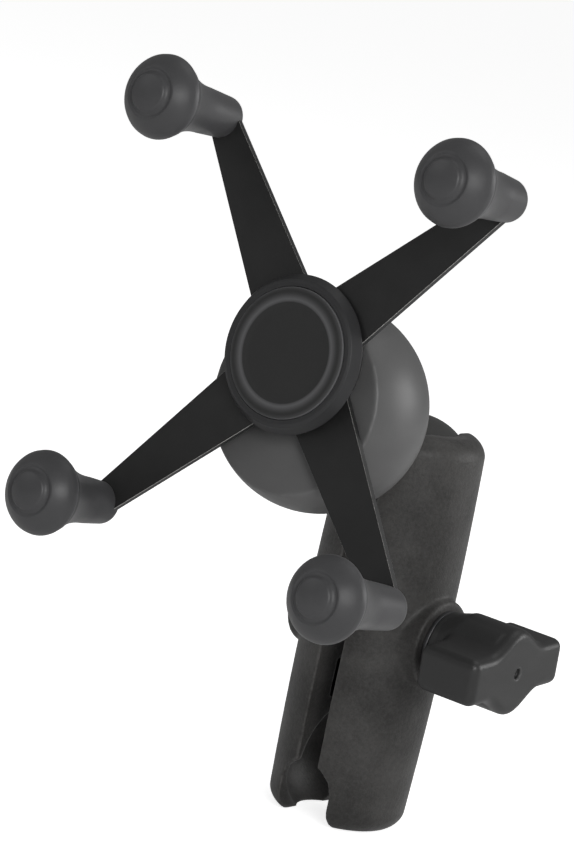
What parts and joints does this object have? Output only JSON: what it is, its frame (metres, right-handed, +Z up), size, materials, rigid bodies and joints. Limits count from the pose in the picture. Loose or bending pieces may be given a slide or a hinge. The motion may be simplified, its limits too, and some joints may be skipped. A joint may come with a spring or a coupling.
{
  "type": "phone handlebar mount",
  "caption": "Spring-loaded scissor phone cradle with rubber-capped posts, on a ball stud held by a double-socket clamp arm with a wing knob.",
  "frame": {"origin": "centre of the empty lower ball socket of the clamp arm", "axes": "+Z up along the arm to the upper ball, +X towards the clamp knob, -Y towards the person looking at the phone"},
  "size_m": [0.085, 0.0948, 0.148],
  "materials": {
    "arm_powder_coat": "fine-textured matt powder coat on die-cast aluminium",
    "plated_steel": "zinc-plated, satin",
    "spring_steel": "drawn wire, lightly oiled",
    "knob_plastic": "moulded, satin",
    "brass": "turned",
    "bare_aluminium": "turned, satin",
    "ball_rubber": "moulded, matt",
    "hub_plastic": "glass-filled moulding, smooth satin",
    "cover_plastic": "moulded, fine grain",
    "pad_rubber": "moulded, matt",
    "nylon": "natural, smooth",
    "leg_coat": "black coat, bright sheared edges",
    "cap_rubber": "moulded, satin"
  },
  "bodies": {
    "arm_far": {"far_arm_half": "arm_powder_coat", "clamp_bolt": "plated_steel", "parting_spring": "spring_steel"},
    "arm_near": {"near_arm_half": "arm_powder_coat", "knob_washer": "spring_steel"},
    "knob": {"clamp_knob": "knob_plastic", "knob_insert": "brass"},
    "ball": {"ball_core": "bare_aluminium", "ball_jacket": "ball_rubber", "stud_washer": "plated_steel", "stud_nut": "plated_steel"},
    "hub": {"hub_housing": "hub_plastic", "hub_cover": "cover_plastic", "hub_pad": "pad_rubber", "pivot_bush": "plated_steel", "pivot_bolt": "plated_steel", "rear_shim": "nylon", "middle_shim": "nylon", "front_shim": "nylon", "torsion_spring": "spring_steel"},
    "leg_a": {"leg_bar_a": "leg_coat", "post_upper_right": "plated_steel", "post_lower_left": "plated_steel", "cap_upper_right": "cap_rubber", "cap_lower_left": "cap_rubber"},
    "leg_b": {"leg_bar_b": "leg_coat", "post_upper_left": "plated_steel", "post_lower_right": "plated_steel", "cap_upper_left": "cap_rubber", "cap_lower_right": "cap_rubber"}
  },
  "joints": [
    {"name": "half_part", "type": "slide", "parent": "arm_far", "child": "arm_near", "axis": [1, 0, 0], "range_m": [0, 0.00254], "deforming": ["parting_spring"]},
    {"name": "knob_turn", "type": "hinge", "parent": "arm_near", "child": "knob", "pos_m": [0, 0, 0.031], "axis": [1, 0, 0], "range_deg": [0, 720]},
    {"name": "ball_swing", "type": "hinge", "parent": "arm_far", "child": "ball", "pos_m": [0, 0, 0.062], "axis": [-1, 0, 0], "range_deg": [-8, 140]},
    {"name": "hub_spin", "type": "hinge", "parent": "ball", "child": "hub", "pos_m": [0, 0, 0.062], "axis": [0, -0.9245, 0.3811], "range_deg": [-90, 90]},
    {"name": "leg_a_spread", "type": "hinge", "parent": "hub", "child": "leg_a", "pos_m": [0, -0.04797, 0.08728], "axis": [0, 0.9893, -0.1461], "range_deg": [-7, 21], "stiffness_Nm_per_rad": 0.8, "springref_deg": -25.78, "deforming": ["torsion_spring"]},
    {"name": "leg_b_spread", "type": "hinge", "parent": "hub", "child": "leg_b", "pos_m": [0, -0.04797, 0.08728], "axis": [0, 0.9893, -0.1461], "range_deg": [-21, 7]}
  ],
  "couplings": [
    {"joint": "knob_turn", "follows": "half_part", "rad_per_m": 4947.4},
    {"joint": "leg_b_spread", "follows": "leg_a_spread", "ratio": -1}
  ]
}
